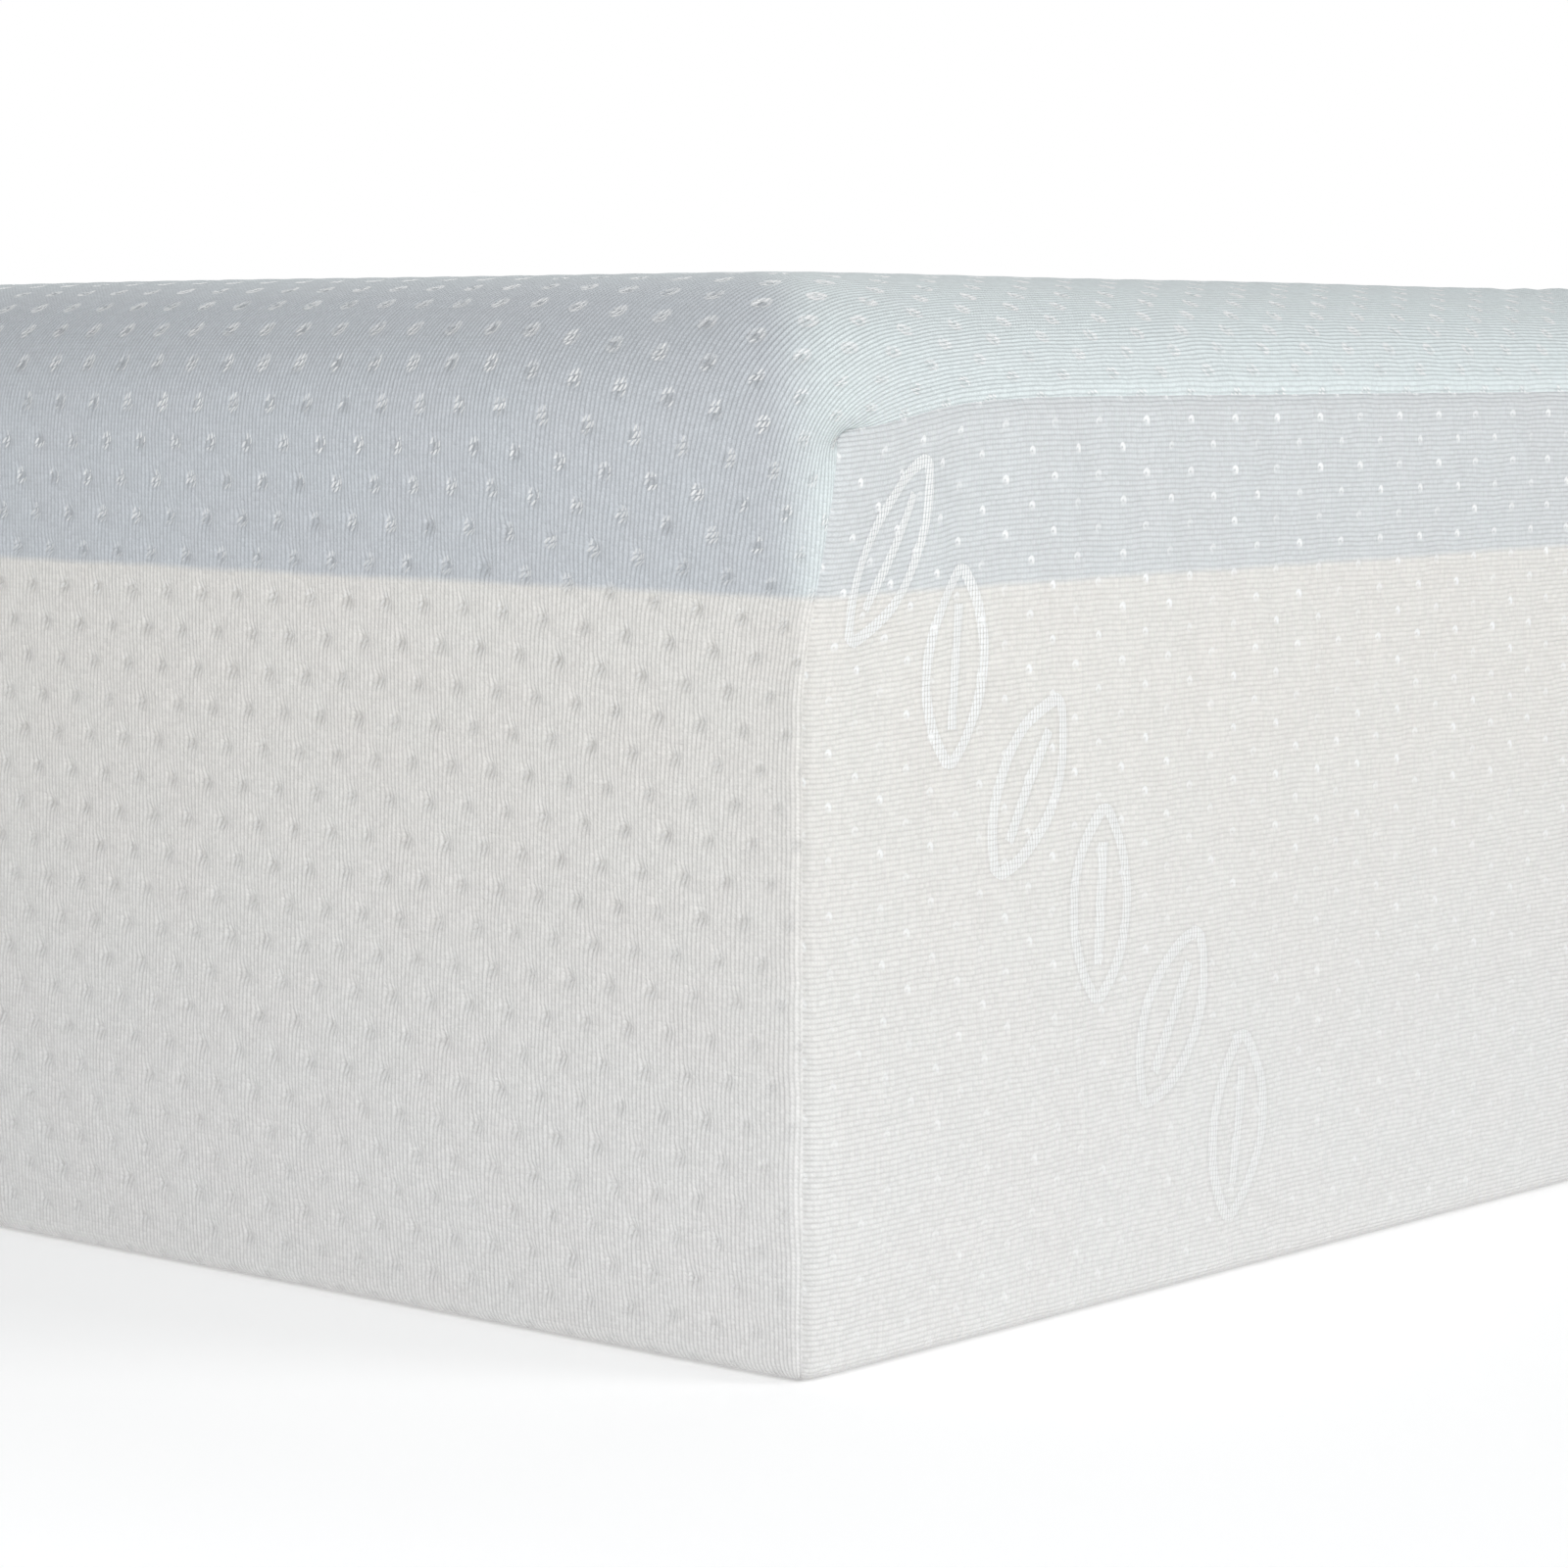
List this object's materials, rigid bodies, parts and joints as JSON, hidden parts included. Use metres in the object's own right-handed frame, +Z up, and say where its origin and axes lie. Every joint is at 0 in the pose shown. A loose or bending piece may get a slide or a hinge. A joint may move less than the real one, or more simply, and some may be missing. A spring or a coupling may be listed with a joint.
{
  "type": "memory foam mattress",
  "caption": "Two-layer memory foam mattress in a white dimpled knit cover, closed by a zip across the head end.",
  "frame": {"origin": "centre of the mattress's underside, on the surface it lies on", "axes": "+X along the length towards the foot end, +Y across the width, +Z up through the height; the zip faces -X"},
  "size_m": [1.9048, 0.9, 0.18],
  "materials": {
    "cover_knit": "white double-jersey knit with staggered tuck-stitch dimples",
    "base_cloth": "plain off-white warp-knit cloth with small grip dots",
    "memory_foam": "pale blue viscoelastic foam, matte open cell",
    "reflex_foam": "cream polyurethane foam, matte open cell",
    "foam_glue": "dried water-based adhesive film",
    "seam_thread": "white polyester sewing thread",
    "zip_tape": "white woven polyester tape",
    "zip_coil": "white polyester coil, semi-matte",
    "zip_metal": "white painted zinc, satin",
    "label_satin": "blank white woven satin"
  },
  "bodies": {
    "mattress": {"reflex_foam_base": "reflex_foam", "foam_bond_layer": "foam_glue", "memory_foam_layer": "memory_foam", "cover_wrap_panel": "cover_knit", "cover_base_panel": "base_cloth", "cover_foot_end_panel": "cover_knit", "cover_head_end_upper_panel": "cover_knit", "cover_head_end_lower_panel": "cover_knit", "seam_foot_end_thread": "seam_thread", "seam_head_end_thread": "seam_thread", "seam_base_thread": "seam_thread", "zip_end_tab_left": "cover_knit", "zip_end_tab_right": "cover_knit", "zip_tape_upper": "zip_tape", "zip_tape_lower": "zip_tape", "zip_coil_upper": "zip_coil", "zip_coil_lower": "zip_coil", "zip_top_stops": "zip_metal", "zip_bottom_stop": "zip_metal", "zip_topstitch_upper": "seam_thread", "zip_topstitch_lower": "seam_thread", "care_label": "label_satin", "care_label_stitching": "seam_thread"},
    "zip_slider": {"zip_slider_body": "zip_metal", "zip_pull_bridge": "zip_metal"},
    "zip_pull": {"zip_pull_tab": "zip_metal"}
  },
  "joints": [
    {"name": "zip_slider_travel", "type": "slide", "parent": "mattress", "child": "zip_slider", "axis": [0, -1, 0], "range_m": [0, 0.8], "deforming": ["zip_coil_upper", "zip_coil_lower"]},
    {"name": "pull_tab_swing", "type": "hinge", "parent": "zip_slider", "child": "zip_pull", "pos_m": [-0.9527, 0.4035, 0.06], "axis": [0, 0, -1], "range_deg": [0, 170]}
  ]
}
